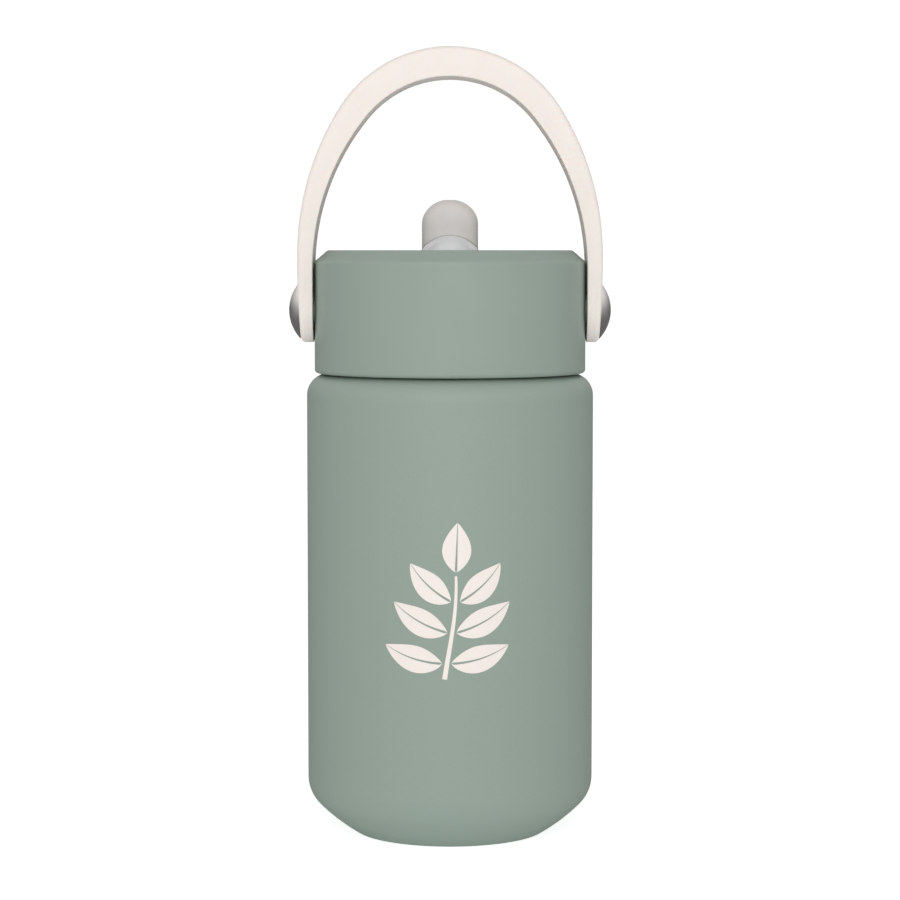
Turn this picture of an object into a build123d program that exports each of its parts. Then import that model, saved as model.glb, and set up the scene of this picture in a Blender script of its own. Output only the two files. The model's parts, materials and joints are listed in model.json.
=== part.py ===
from build123d import *
import os
from math import acos, asin, cos, degrees, radians, sin

# Insulated kids water bottle of about 350 ml with a screw-on straw lid, a flip spout and a bail handle.
# Millimetres. Z is up, the base stands on Z = 0 and the bottle's axis is the Z axis. -Y is the front.

# ---- flask: one outline, and every wall surface is that outline at some depth below it ----
BODY_R = 36.5  # outside radius of the straight body
STEEL = 0.7  # outer wall
LINER = 0.6  # inner wall
VACUUM = 2.2  # gap between the two walls
SHOULDER_Z = 117.2
SHOULDER_R = 5.5  # rounding between body and shoulder
NECK_R = 26.4
NECK_FILLET = 1.2
RIM_Z = 130.4
CORNER_R1 = 9.0  # first arc of the base corner
CORNER_R2 = 50.0  # second, flatter arc, down to the foot
CORNER_TURN = 45.0  # degrees turned by the first arc
FOOT_R = 24.5  # outside of the foot ring
FOOT_LAND = 1.2  # width of the flat ring that the bottle stands on
RECESS_H = 2.2  # depth of the recess inside the foot ring
LINER_FLOOR_Z = 5.2  # underside of the liner's floor

# ---- screw thread between neck and lid ----
PITCH = 4.0
THREAD_Z = 120.0  # centre of the neck's thread where it starts
NECK_TURNS = 2.0
LID_RIDGE = (1.15, 0.45)  # half-width of the lid's thread at its root and at its crest
NECK_RIDGE = (1.25, 0.5)  # the same for the neck's thread
LID_TURNS = 1.5
THREAD_DEPTH = 1.2

# ---- lid ----
LID_R = 34.5
LID_Z = 117.35  # bottom edge
DECK_Z = 148.5  # top face
LID_WALL = 2.0
LID_CHAMFER_R = 3.4  # radial and
LID_CHAMFER_Z = 2.9  # axial size of the bevel round the top
LID_LOW_FILLET = 0.9
LID_TOP_FILLET = 1.2  # on both edges of the bevel
CUP_ROOT_R = 28.1  # inside of the threaded cup
CUP_WALL = 1.5
PLATE_Z = 133.1  # underside of the cup's top plate
PLATE_T = 1.9

# ---- flip spout ----
SPOUT_Z = 144.6  # height of its hinge axis, which is parallel to X
BALL_R = 8.3
BALL_HALF_W = 8.1
TRUNNION_R = 2.2
SPOUT_BORE_R = 2.2
WELL_HALF_W = 8.7
WELL_FRONT = -8.9
WELL_BACK = 20.6
WELL_FLOOR_Z = 138.4
MOUTH_W = 14.3
MOUTH_D = 8.6
MOUTH_Y = 1.0  # the mouthpiece stands this far behind the hinge axis
MOUTH_TOP = 161.4
MOUTH_DOME = 6.25  # height of the rounded top
MOUTH_BOTTOM = 147.2

# ---- bail handle and its pivots ----
PIVOT_Z = 133.3
EYE_R = 8.2
BOSS_FACE = 34.7
ARM_IN = 34.9  # inner face of an arm
ARM_OUT = 38.7  # widest point of the outer outline
SEAT_X = 37.85  # face in the arm that the bush's flange covers
BUSH_R = 3.0
CAP_R = 7.3
CAP_BASE = 38.1
CAP_TOP = 41.0

FIT = 0.05  # running clearance between a pin and its hole
UP = (Align.CENTER, Align.CENTER, Align.MIN)  # a cylinder that stands on its place
DOWN = (Align.CENTER, Align.CENTER, Align.MAX)  # a cylinder that hangs from it

os.makedirs("parts", exist_ok=True)


def save(piece, name):
    """Labels a finished piece and writes its STEP."""
    piece.label = name
    export_step(piece, f"parts/{name}.step")


# ------------------------------------------------------------------ flask
corner_reach = CORNER_R2 - CORNER_R1
corner_2_r = BODY_R - CORNER_R1 - corner_reach * cos(radians(CORNER_TURN))
# the second arc meets the foot at Z = 0
corner_2_z = CORNER_R2 * sin(acos((FOOT_R - corner_2_r) / CORNER_R2))
corner_1 = (BODY_R - CORNER_R1, corner_2_z - corner_reach * sin(radians(CORNER_TURN)))
corner_2 = (corner_2_r, corner_2_z)


def corner_angle(depth, radius=None, height=None):
    """Angle below the horizontal at which the second corner arc reaches a radius or a height."""
    arc = CORNER_R2 - depth
    if radius is not None:
        return degrees(acos((radius - corner_2[0]) / arc))
    return degrees(asin((corner_2[1] - height) / arc))


def corner_point(depth, angle):
    """Point of the second corner arc, at this depth, at an angle below the horizontal."""
    arc = CORNER_R2 - depth
    return (corner_2[0] + arc * cos(radians(angle)), corner_2[1] - arc * sin(radians(angle)))


def flask_line(depth, top, end_angle):
    """Draws the outline at a depth below the flask's surface, from the neck's top to the base corner."""
    neck = NECK_R - depth
    Line((neck, top), (neck, SHOULDER_Z + NECK_FILLET))
    CenterArc((NECK_R + NECK_FILLET, SHOULDER_Z + NECK_FILLET), NECK_FILLET + depth, 180, 90)
    Line((NECK_R + NECK_FILLET, SHOULDER_Z - depth), (BODY_R - SHOULDER_R, SHOULDER_Z - depth))
    CenterArc((BODY_R - SHOULDER_R, SHOULDER_Z - SHOULDER_R), SHOULDER_R - depth, 90, -90)
    Line((BODY_R - depth, SHOULDER_Z - SHOULDER_R), (BODY_R - depth, corner_1[1]))
    CenterArc(corner_1, CORNER_R1 - depth, 0, -CORNER_TURN)
    CenterArc(corner_2, CORNER_R2 - depth, -CORNER_TURN, CORNER_TURN - end_angle)


def thread_section(root_r, crest_r, half_widths, height):
    """Closed trapezoid of a thread in the XZ plane, at the helix's start."""
    base_half, crest_half = half_widths
    with BuildSketch(Plane.XZ) as section:
        with BuildLine():
            Polyline(
                (root_r, height - base_half),
                (crest_r, height - crest_half),
                (crest_r, height + crest_half),
                (root_r, height + base_half),
                close=True,
            )
        make_face()
    return section.sketch


flange_in = FOOT_R - FOOT_LAND
flange_out = flange_in + STEEL
with BuildPart() as outer_shell:
    with BuildSketch(Plane.XZ):
        with BuildLine():
            flask_line(0, RIM_Z, corner_angle(0, radius=FOOT_R))
            inner_end = corner_angle(STEEL, radius=flange_out)
            Polyline(
                corner_point(0, corner_angle(0, radius=FOOT_R)),
                (flange_in, 0),
                (flange_in, RECESS_H),
                (flange_out, RECESS_H),
                corner_point(STEEL, inner_end),
            )
            flask_line(STEEL, RIM_Z, inner_end)
            Line((NECK_R - STEEL, RIM_Z), (NECK_R, RIM_Z))
        make_face()
    revolve(axis=Axis.Z)
    with BuildLine() as neck_helix:
        Helix(PITCH, NECK_TURNS * PITCH, NECK_R, center=(0, 0, THREAD_Z))
    sweep(
        thread_section(NECK_R - STEEL / 2, NECK_R + THREAD_DEPTH, NECK_RIDGE, THREAD_Z),
        path=neck_helix.line,
        is_frenet=True,
    )
save(outer_shell.part, "outer_shell")

liner_out = STEEL + VACUUM
liner_in = liner_out + LINER
LIP_T = 0.7
LIP_FILLET = 0.3
with BuildPart() as inner_liner:
    with BuildSketch(Plane.XZ):
        with BuildLine():
            out_end = corner_angle(liner_out, height=LINER_FLOOR_Z)
            in_end = corner_angle(liner_in, height=LINER_FLOOR_Z + LINER)
            Polyline(
                (NECK_R - liner_out, RIM_Z),
                (NECK_R, RIM_Z),
                (NECK_R, RIM_Z + LIP_T),
                (NECK_R - liner_in, RIM_Z + LIP_T),
            )
            flask_line(liner_out, RIM_Z, out_end)
            Polyline(
                corner_point(liner_out, out_end),
                (0, LINER_FLOOR_Z),
                (0, LINER_FLOOR_Z + LINER),
                corner_point(liner_in, in_end),
            )
            flask_line(liner_in, RIM_Z + LIP_T, in_end)
        make_face()
    revolve(axis=Axis.Z)
    lip_edges = inner_liner.edges().filter_by(GeomType.CIRCLE).group_by(Axis.Z)[-1]
    fillet(lip_edges, radius=LIP_FILLET)
save(inner_liner.part, "inner_liner")

FOIL_T = 0.12
FOIL_GAP = 0.2
FOIL_LOW = 20.0
FOIL_H = 86.0
with BuildPart() as heat_shield_foil:
    with BuildSketch(Plane.XY.offset(FOIL_LOW)):
        Circle(BODY_R - liner_out + FOIL_GAP + FOIL_T)
        Circle(BODY_R - liner_out + FOIL_GAP, mode=Mode.SUBTRACT)
    extrude(amount=FOIL_H)
save(heat_shield_foil.part, "heat_shield_foil")

SEAL_PIT_R = 4.0
SEAL_PIT_H = 0.9
SEAL_HOLE_R = 0.8
PIT_SLOPE = 1.0  # the pit's wall runs in this far from its rim to its roof
PIT_SHIFT = 0.4  # the wall's upper face stands this far out
with BuildPart() as vacuum_base:
    with BuildSketch(Plane.XZ):
        with BuildLine():
            Polyline(
                (SEAL_HOLE_R, RECESS_H + SEAL_PIT_H),
                (SEAL_PIT_R - PIT_SLOPE, RECESS_H + SEAL_PIT_H),
                (SEAL_PIT_R, RECESS_H),
                (flange_out, RECESS_H),
                (flange_out, RECESS_H + STEEL),
                (SEAL_PIT_R + PIT_SHIFT, RECESS_H + STEEL),
                (SEAL_PIT_R - PIT_SLOPE + PIT_SHIFT, RECESS_H + SEAL_PIT_H + STEEL),
                (SEAL_HOLE_R, RECESS_H + SEAL_PIT_H + STEEL),
                close=True,
            )
        make_face()
    revolve(axis=Axis.Z)
save(vacuum_base.part, "vacuum_base")

BEAD_R = 2.7
BEAD_T = 0.7
BEAD_FILLET = 0.4
with BuildPart() as seal_bead:
    with Locations((0, 0, RECESS_H + SEAL_PIT_H)):
        Cylinder(BEAD_R, BEAD_T, align=DOWN)
    fillet(seal_bead.edges().group_by(Axis.Z)[0], radius=BEAD_FILLET)
    with Locations((0, 0, RECESS_H + SEAL_PIT_H)):
        Cylinder(SEAL_HOLE_R - FIT, STEEL, align=UP)
save(seal_bead.part, "seal_bead")

GETTER_X = 11.0
GETTER_R = 4.0
GETTER_H = 1.1
GETTER_BEVEL = 0.3
with BuildPart() as getter:
    with Locations((GETTER_X, 0, RECESS_H + STEEL)):
        Cylinder(GETTER_R, GETTER_H, align=UP)
    chamfer(getter.edges().group_by(Axis.Z)[-1], length=GETTER_BEVEL)
save(getter.part, "getter")

PLATE_LOW = 0.5  # the base plate stays this far above the ground
PLATE_STEEL = 0.5
PLATE_R = flange_in - 3 * FIT
PLATE_FILLET = 0.35
PANEL_R = 12.0  # a slightly raised round panel in the middle of the plate
PANEL_RISE = 0.5
PANEL_SLOPE = 1.0
PANEL_SHIFT = 0.2  # the slope's upper face stands this far out
with BuildPart() as base_plate:
    with BuildSketch(Plane.XZ):
        with BuildLine():
            Polyline(
                (0, PLATE_LOW + PANEL_RISE),
                (PANEL_R - PANEL_SLOPE, PLATE_LOW + PANEL_RISE),
                (PANEL_R, PLATE_LOW),
                (PLATE_R, PLATE_LOW),
                (PLATE_R, RECESS_H),
                (PLATE_R - PLATE_STEEL, RECESS_H),
                (PLATE_R - PLATE_STEEL, PLATE_LOW + PLATE_STEEL),
                (PANEL_R + PANEL_SHIFT, PLATE_LOW + PLATE_STEEL),
                (PANEL_R - PANEL_SLOPE + PANEL_SHIFT, PLATE_LOW + PANEL_RISE + PLATE_STEEL),
                (0, PLATE_LOW + PANEL_RISE + PLATE_STEEL),
                close=True,
            )
        make_face()
    revolve(axis=Axis.Z)
    rim = base_plate.edges().filter_by(GeomType.CIRCLE).group_by(Axis.Z)[0].sort_by(SortBy.RADIUS)[-1]
    fillet(rim, radius=PLATE_FILLET)
save(base_plate.part, "base_plate")

# ------------------------------------------------------------------ lid
GASKET_IN = 23.4
GASKET_OUT = 27.4
GASKET_LOW = RIM_Z + LIP_T + FIT
GASKET_FILLET = 0.5
with BuildPart() as lid_gasket:
    with BuildSketch(Plane.XZ):
        with Locations(((GASKET_IN + GASKET_OUT) / 2, (GASKET_LOW + PLATE_Z) / 2)):
            RectangleRounded(GASKET_OUT - GASKET_IN, PLATE_Z - GASKET_LOW, GASKET_FILLET)
    revolve(axis=Axis.Z)
save(lid_gasket.part, "lid_gasket")

CUP_R = CUP_ROOT_R + CUP_WALL
CUP_BOTTOM = LID_Z + 0.6  # a little above the lid's edge
CUP_FLANGE_T = 1.6
PORT_R = 3.0  # water way through the plate
SOCKET_R = 6.0  # collar round the water way, under the plate
SOCKET_Z = 126.0
PLUG_R = 4.2
PLUG_H = 5.8
SEAL_R = 4.6
SEAL_H = 6.0
SEAL_Z = 134.0
VENT_Y = -14.0
VENT_R = 1.6
with BuildPart() as lid_insert:
    with BuildSketch(Plane.XZ):
        with BuildLine():
            Polyline(
                (0, PLATE_Z + PLATE_T),
                (CUP_R, PLATE_Z + PLATE_T),
                (CUP_R, CUP_BOTTOM + CUP_FLANGE_T),
                (LID_R - LID_WALL - FIT, CUP_BOTTOM + CUP_FLANGE_T),
                (LID_R - LID_WALL - FIT, CUP_BOTTOM),
                (CUP_ROOT_R, CUP_BOTTOM),
                (CUP_ROOT_R, PLATE_Z),
                (SOCKET_R, PLATE_Z),
                (SOCKET_R, SOCKET_Z),
                (0, SOCKET_Z),
                close=True,
            )
        make_face()
    revolve(axis=Axis.Z)
    with Locations((0, 0, PLATE_Z + PLATE_T)):
        Hole(PORT_R)
    with Locations((0, 0, SEAL_Z)):
        Cylinder(SEAL_R + FIT, PLATE_T, align=UP, mode=Mode.SUBTRACT)
    with Locations((0, 0, SOCKET_Z)):
        Cylinder(PLUG_R + FIT, PLUG_H + 4 * FIT, align=UP, mode=Mode.SUBTRACT)
    with Locations((0, VENT_Y, PLATE_Z + PLATE_T)):
        Hole(VENT_R, depth=PLATE_T + FIT)
    with BuildLine() as cup_helix:
        Helix(PITCH, LID_TURNS * PITCH, CUP_ROOT_R, center=(0, 0, THREAD_Z + PITCH / 2))
    sweep(
        thread_section(CUP_ROOT_R + CUP_WALL / 3, CUP_ROOT_R - THREAD_DEPTH, LID_RIDGE, THREAD_Z + PITCH / 2),
        path=cup_helix.line,
        is_frenet=True,
    )
save(lid_insert.part, "lid_insert")

WELL_WALL = 1.6
WELL_FLOOR_T = 1.4
WELL_CORNER = 3.0
WELL_BEVEL = 0.5
WELL_LENGTH = WELL_BACK - WELL_FRONT
WELL_MID = (WELL_FRONT + WELL_BACK) / 2
SEAT_R = BALL_R + 0.5  # spherical seat round the ball
TRUNNION_END = WELL_HALF_W + 2.6
TRUNNION_WALL = 0.6  # left beyond a trunnion's end
INNER_BEVEL = 0.6  # size of the bevel inside the deck against the one outside
VENT_HOLE_R = 0.9
BOSS_R = 4.1
BOSS_FLOOR = 1.0  # wall left behind the brass insert
INSERT_R = 2.7
INSERT_IN = 31.0
INSERT_OUT = 34.2
well_out = WELL_HALF_W + WELL_WALL
with BuildPart() as lid_shell:
    with BuildSketch(Plane.XZ):
        with BuildLine():
            Polyline(
                (0, LID_Z),
                (LID_R, LID_Z),
                (LID_R, DECK_Z - LID_CHAMFER_Z),
                (LID_R - LID_CHAMFER_R, DECK_Z),
                (0, DECK_Z),
                close=True,
            )
        make_face()
    revolve(axis=Axis.Z)
    rings = lid_shell.edges().filter_by(GeomType.CIRCLE).group_by(Axis.Z)
    fillet(rings[0], radius=LID_LOW_FILLET)
    fillet(rings[1] + rings[2], radius=LID_TOP_FILLET)
    # cavity under the deck, which follows the bevel
    with BuildSketch(Plane.XZ):
        with BuildLine():
            Polyline(
                (0, LID_Z),
                (LID_R - LID_WALL, LID_Z),
                (LID_R - LID_WALL, DECK_Z - LID_WALL - LID_CHAMFER_Z * INNER_BEVEL),
                (LID_R - LID_WALL - LID_CHAMFER_R * INNER_BEVEL, DECK_Z - LID_WALL),
                (0, DECK_Z - LID_WALL),
                close=True,
            )
        make_face()
    revolve(axis=Axis.Z, mode=Mode.SUBTRACT)
    # pivot bosses inside and out
    with BuildSketch(Plane.YZ):
        with Locations((0, PIVOT_Z)):
            Circle(BOSS_R)
    extrude(amount=BOSS_FACE, both=True)
    with BuildSketch(Plane.YZ):
        with Locations((0, PIVOT_Z)):
            Circle(2 * BOSS_R)
    extrude(amount=INSERT_IN - BOSS_FLOOR, both=True, mode=Mode.SUBTRACT)
    for side in (1, -1):
        with Locations(Plane(origin=(side * BOSS_FACE, 0, PIVOT_Z), z_dir=(side, 0, 0))):
            Hole(INSERT_R + FIT, depth=BOSS_FACE - INSERT_IN + FIT)
    # walls and floor of the spout's well, hanging from the deck, with a deeper round part under the ball
    with BuildSketch(Plane.XY.offset(WELL_FLOOR_Z - WELL_FLOOR_T)):
        with Locations((0, WELL_MID)):
            RectangleRounded(2 * well_out, WELL_LENGTH + 2 * WELL_WALL, WELL_CORNER + WELL_WALL)
    extrude(until=Until.LAST)
    with BuildSketch(Plane.YZ):
        with Locations((0, SPOUT_Z)):
            Circle(SEAT_R + WELL_WALL)
        with Locations((0, SPOUT_Z)):
            Rectangle(4 * SEAT_R, 2 * SEAT_R, align=(Align.CENTER, Align.MIN), mode=Mode.SUBTRACT)
        with Locations((0, PLATE_Z + PLATE_T)):
            Rectangle(4 * SEAT_R, 2 * SEAT_R, align=(Align.CENTER, Align.MAX), mode=Mode.SUBTRACT)
    extrude(amount=well_out, both=True)
    # thicker walls round the spout's trunnions
    with BuildSketch(Plane.YZ):
        with Locations((0, SPOUT_Z)):
            Circle(TRUNNION_R + WELL_WALL)
    extrude(amount=TRUNNION_END + TRUNNION_WALL, both=True)
    # the well itself, with a bevelled rim, a spherical seat and holes for the trunnions and the seal
    with BuildSketch(Plane.XY.offset(WELL_FLOOR_Z)):
        with Locations((0, WELL_MID)):
            RectangleRounded(2 * WELL_HALF_W, WELL_LENGTH, WELL_CORNER)
    extrude(amount=DECK_Z, mode=Mode.SUBTRACT)
    with BuildSketch(Plane.XY.offset(DECK_Z - WELL_BEVEL)):
        with Locations((0, WELL_MID)):
            RectangleRounded(2 * WELL_HALF_W, WELL_LENGTH, WELL_CORNER)
    extrude(amount=WELL_BEVEL, taper=-45, mode=Mode.SUBTRACT)
    with Locations((0, 0, SPOUT_Z)):
        Sphere(SEAT_R, mode=Mode.SUBTRACT)
        Cylinder(TRUNNION_R + FIT, 2 * (TRUNNION_END + FIT), rotation=(0, 90, 0), mode=Mode.SUBTRACT)
    with Locations((0, 0, PLATE_Z)):
        Cylinder(SEAL_R + 3 * FIT, SPOUT_Z - PLATE_Z, align=UP, mode=Mode.SUBTRACT)
    with Locations((0, VENT_Y, DECK_Z)):
        Hole(VENT_HOLE_R, depth=2 * LID_WALL)
save(lid_shell.part, "lid_shell")

SEAL_BORE_R = 2.6
with BuildPart() as port_seal:
    with Locations((0, 0, SEAL_Z)):
        Cylinder(SEAL_R, SEAL_H, align=UP)
        Cylinder(SEAL_BORE_R, SEAL_H, align=UP, mode=Mode.SUBTRACT)
    with Locations((0, 0, SPOUT_Z)):
        Sphere(BALL_R + FIT, mode=Mode.SUBTRACT)
save(port_seal.part, "port_seal")

VALVE_HEAD_R = 3.4
VALVE_HEAD_T = 0.9
VALVE_FILLET = 0.4
VALVE_NECK_L = 1.0  # length of the stem below the plate
VALVE_BULB_R = 2.3
VALVE_BILL = (4.2, 0.8)  # the closed lips at the lower end
VALVE_BILL_Z = PLATE_Z - 4.5
VALVE_BORE_R = 0.7
with BuildPart() as vent_valve:
    with Locations((0, VENT_Y, PLATE_Z + PLATE_T)):
        Cylinder(VALVE_HEAD_R, VALVE_HEAD_T, align=UP)
    fillet(vent_valve.edges().group_by(Axis.Z)[-1], radius=VALVE_FILLET)
    with Locations((0, VENT_Y, PLATE_Z - VALVE_NECK_L)):
        Cylinder(VENT_R - FIT, PLATE_T + VALVE_NECK_L, align=UP)
    with BuildSketch(Plane.XY.offset(PLATE_Z - VALVE_NECK_L)):
        with Locations((0, VENT_Y)):
            Circle(VALVE_BULB_R)
    with BuildSketch(Plane.XY.offset(VALVE_BILL_Z)):
        with Locations((0, VENT_Y)):
            Rectangle(*VALVE_BILL)
    loft()
    with Locations((0, VENT_Y, PLATE_Z + PLATE_T + VALVE_HEAD_T)):
        Hole(VALVE_BORE_R, depth=VALVE_HEAD_T + PLATE_T + 2 * VALVE_NECK_L)
save(vent_valve.part, "vent_valve")

NIPPLE_R = 3.05
NIPPLE_L = 10.0
NIPPLE_BEVEL = 0.4
COLLAR_R = 5.4
COLLAR_T = 1.5
STRAW_IN = 3.1
STRAW_OUT = 3.8
STRAW_TOP = SOCKET_Z - 1.6
STRAW_LOW = LINER_FLOOR_Z + LINER + 2.6
NOTCH_R = 2.2
with BuildPart() as straw_connector:
    with Locations((0, 0, SOCKET_Z)):
        Cylinder(PLUG_R, PLUG_H, align=UP)
        Cylinder(COLLAR_R, COLLAR_T, align=DOWN)
        Cylinder(NIPPLE_R, NIPPLE_L, align=DOWN)
    with Locations((0, 0, SOCKET_Z + PLUG_H)):
        Hole(SPOUT_BORE_R)
    nipple_rim = straw_connector.edges().group_by(Axis.Z)[0].sort_by(SortBy.RADIUS)[-1]
    chamfer(nipple_rim, length=NIPPLE_BEVEL)
save(straw_connector.part, "straw_connector")

with BuildPart() as straw:
    with BuildSketch(Plane.XY.offset(STRAW_LOW)):
        Circle(STRAW_OUT)
        Circle(STRAW_IN, mode=Mode.SUBTRACT)
    extrude(amount=STRAW_TOP - STRAW_LOW)
    # two notches in the lower end keep it from sealing on the floor
    with BuildSketch(Plane.XZ):
        with Locations((0, STRAW_LOW)):
            Circle(NOTCH_R)
    extrude(amount=2 * STRAW_OUT, both=True, mode=Mode.SUBTRACT)
save(straw.part, "straw")

# ------------------------------------------------------------------ flip spout
STUB_R = 3.2
STUB_LOW = SPOUT_Z + 3
STUB_TOP = 156.5
BARB_R = 3.6
BARB_Z = 154.4
BARB_H = 1.4
TRUNNION_BEVEL = 0.4
BORE_OVERLAP = 2.0  # the bore through the stub starts this far below the hinge axis
with BuildPart() as spout_ball:
    with Locations((0, 0, SPOUT_Z)):
        Sphere(BALL_R)
    with BuildSketch(Plane.YZ):
        with Locations((0, SPOUT_Z)):
            Circle(2 * BALL_R)
    extrude(amount=BALL_HALF_W, both=True, mode=Mode.INTERSECT)
    with BuildSketch(Plane.YZ):
        with Locations((0, SPOUT_Z)):
            Circle(TRUNNION_R)
    extrude(amount=TRUNNION_END, both=True)
    trunnion_ends = spout_ball.faces().sort_by(Axis.X)
    chamfer(trunnion_ends[0].edges() + trunnion_ends[-1].edges(), length=TRUNNION_BEVEL)
    with Locations((0, MOUTH_Y, STUB_LOW)):
        Cylinder(STUB_R, STUB_TOP - STUB_LOW, align=UP)
    with Locations((0, MOUTH_Y, BARB_Z)):
        Cone(BARB_R, STUB_R, BARB_H, align=UP)
    with Locations((0, 0, SPOUT_Z)):
        Cylinder(SPOUT_BORE_R, 2 * BALL_R, align=DOWN, mode=Mode.SUBTRACT)
    with Locations((0, MOUTH_Y, SPOUT_Z - BORE_OVERLAP)):
        Cylinder(SPOUT_BORE_R, STUB_TOP - SPOUT_Z + 2 * BORE_OVERLAP, align=UP, mode=Mode.SUBTRACT)
save(spout_ball.part, "spout_ball")

LIP_HOLE_R = 1.5
with BuildPart() as mouthpiece:
    with BuildSketch(Plane.XY.offset(MOUTH_BOTTOM)):
        with Locations((0, MOUTH_Y)):
            SlotOverall(MOUTH_W, MOUTH_D)
    extrude(amount=MOUTH_TOP - MOUTH_BOTTOM)
    with BuildSketch(Plane.XZ):
        with Locations((0, MOUTH_TOP - MOUTH_DOME)):
            Ellipse(MOUTH_W / 2, MOUTH_DOME)
        with Locations((0, MOUTH_TOP - MOUTH_DOME)):
            Rectangle(MOUTH_W, MOUTH_TOP - MOUTH_BOTTOM, align=(Align.CENTER, Align.MAX))
    extrude(amount=MOUTH_D, both=True, mode=Mode.INTERSECT)
    with Locations((0, 0, SPOUT_Z)):
        Sphere(BALL_R + FIT, mode=Mode.SUBTRACT)
    with Locations((0, MOUTH_Y, SPOUT_Z)):
        Cylinder(STUB_R + FIT, STUB_TOP - SPOUT_Z + FIT, align=UP, mode=Mode.SUBTRACT)
    with Locations((0, MOUTH_Y, BARB_Z - FIT)):
        Cylinder(BARB_R + FIT, BARB_H + 2 * FIT, align=UP, mode=Mode.SUBTRACT)
    with Locations((0, MOUTH_Y, MOUTH_TOP)):
        Hole(LIP_HOLE_R, depth=MOUTH_TOP - STUB_TOP)
save(mouthpiece.part, "mouthpiece")

# ------------------------------------------------------------------ handle
OUTER_SIDE_R = 70.0
OUTER_TOP_R = 33.0
OUTER_WIDE_Z = 147.0  # height of the widest point
ARM_LOW_R = 300.0  # the outer face curves in a little below it
INNER_SIDE_R = 60.8
INNER_TOP_R = 27.0
INNER_WIDE_Z = 143.6
EYE_LOW = PIVOT_Z - EYE_R
HANDLE_FILLET = 1.4
CAP_GAP = 0.3  # between a cap and its seat in the arm


def arch(half_width, side_r, top_r, wide_z):
    """Draws half an arch on the +X side: a top arc from its apex, then a flatter arc to its widest point."""
    turn = degrees(acos((side_r - half_width) / (side_r - top_r)))
    CenterArc((0, wide_z + (side_r - top_r) * sin(radians(turn))), top_r, 90, turn - 90)
    CenterArc((half_width - side_r, wide_z), side_r, turn, -turn)


with BuildPart() as handle_bail:
    with BuildSketch(Plane.XZ):
        with BuildLine():
            arch(ARM_OUT, OUTER_SIDE_R, OUTER_TOP_R, OUTER_WIDE_Z)
            low_turn = degrees(asin((OUTER_WIDE_Z - EYE_LOW) / ARM_LOW_R))
            low_arc = CenterArc((ARM_OUT - ARM_LOW_R, OUTER_WIDE_Z), ARM_LOW_R, 0, -low_turn)
            Polyline(low_arc @ 1, (ARM_IN, EYE_LOW), (ARM_IN, INNER_WIDE_Z))
            arch(ARM_IN, INNER_SIDE_R, INNER_TOP_R, INNER_WIDE_Z)
            mirror(about=Plane.YZ)
        make_face()
    extrude(amount=EYE_R, both=True)
    with BuildSketch(Plane.YZ.offset(-2 * ARM_OUT)):
        with Locations((0, PIVOT_Z)):
            Circle(EYE_R)
        with Locations((0, PIVOT_Z + 2 * ARM_OUT)):
            Rectangle(2 * EYE_R, 4 * ARM_OUT)
    extrude(amount=4 * ARM_OUT, mode=Mode.INTERSECT)
    side_faces = handle_bail.faces().filter_by(Axis.Y)
    arch_edges = side_faces.edges().filter_by(lambda edge: edge.center().Z > PIVOT_Z + EYE_R / 2)
    fillet(arch_edges, radius=HANDLE_FILLET)
    for side in (1, -1):
        seat = Plane(origin=(side * SEAT_X, 0, PIVOT_Z), z_dir=(side, 0, 0))
        with Locations(seat):
            Cylinder(CAP_R + CAP_GAP, ARM_OUT, align=UP, mode=Mode.SUBTRACT)
            Cylinder(BUSH_R + FIT, ARM_OUT, mode=Mode.SUBTRACT)
save(handle_bail.part, "handle_bail")

# ------------------------------------------------------------------ the two pivots
FLANGE_R = 5.4
FLANGE_T = 0.8
BUSH_BORE = 1.8
SCREW_R = 1.75
SCREW_TIP = INSERT_IN + 0.2
THREAD_FIT = 0.03  # between the screw and the insert
HEAD_R = 3.2
HEAD_T = 0.9
HEX_R = 1.5
HEX_FLOOR = 0.3
INSERT_SIDES = 12
CAP_WALL = 0.5
cap_sphere = (CAP_R**2 + (CAP_TOP - CAP_BASE) ** 2) / (2 * (CAP_TOP - CAP_BASE))
cap_centre = CAP_TOP - cap_sphere
dome_turn = degrees(asin(CAP_R / cap_sphere))
ring_turn = degrees(asin((FLANGE_R + FIT) / (cap_sphere - CAP_WALL)))


def pivot_plane(side, x):
    """Plane across the pivot axis at a distance from the bottle's axis, facing outwards on that side."""
    return Plane(origin=(side * x, 0, PIVOT_Z), z_dir=(side, 0, 0))


def outward(radius, low, high, side, mode=Mode.ADD):
    """Cylinder on the pivot axis between two distances from the bottle's axis."""
    with BuildSketch(pivot_plane(side, low)) as disc:
        Circle(radius)
    extrude(disc.sketch, amount=high - low, mode=mode)


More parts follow.
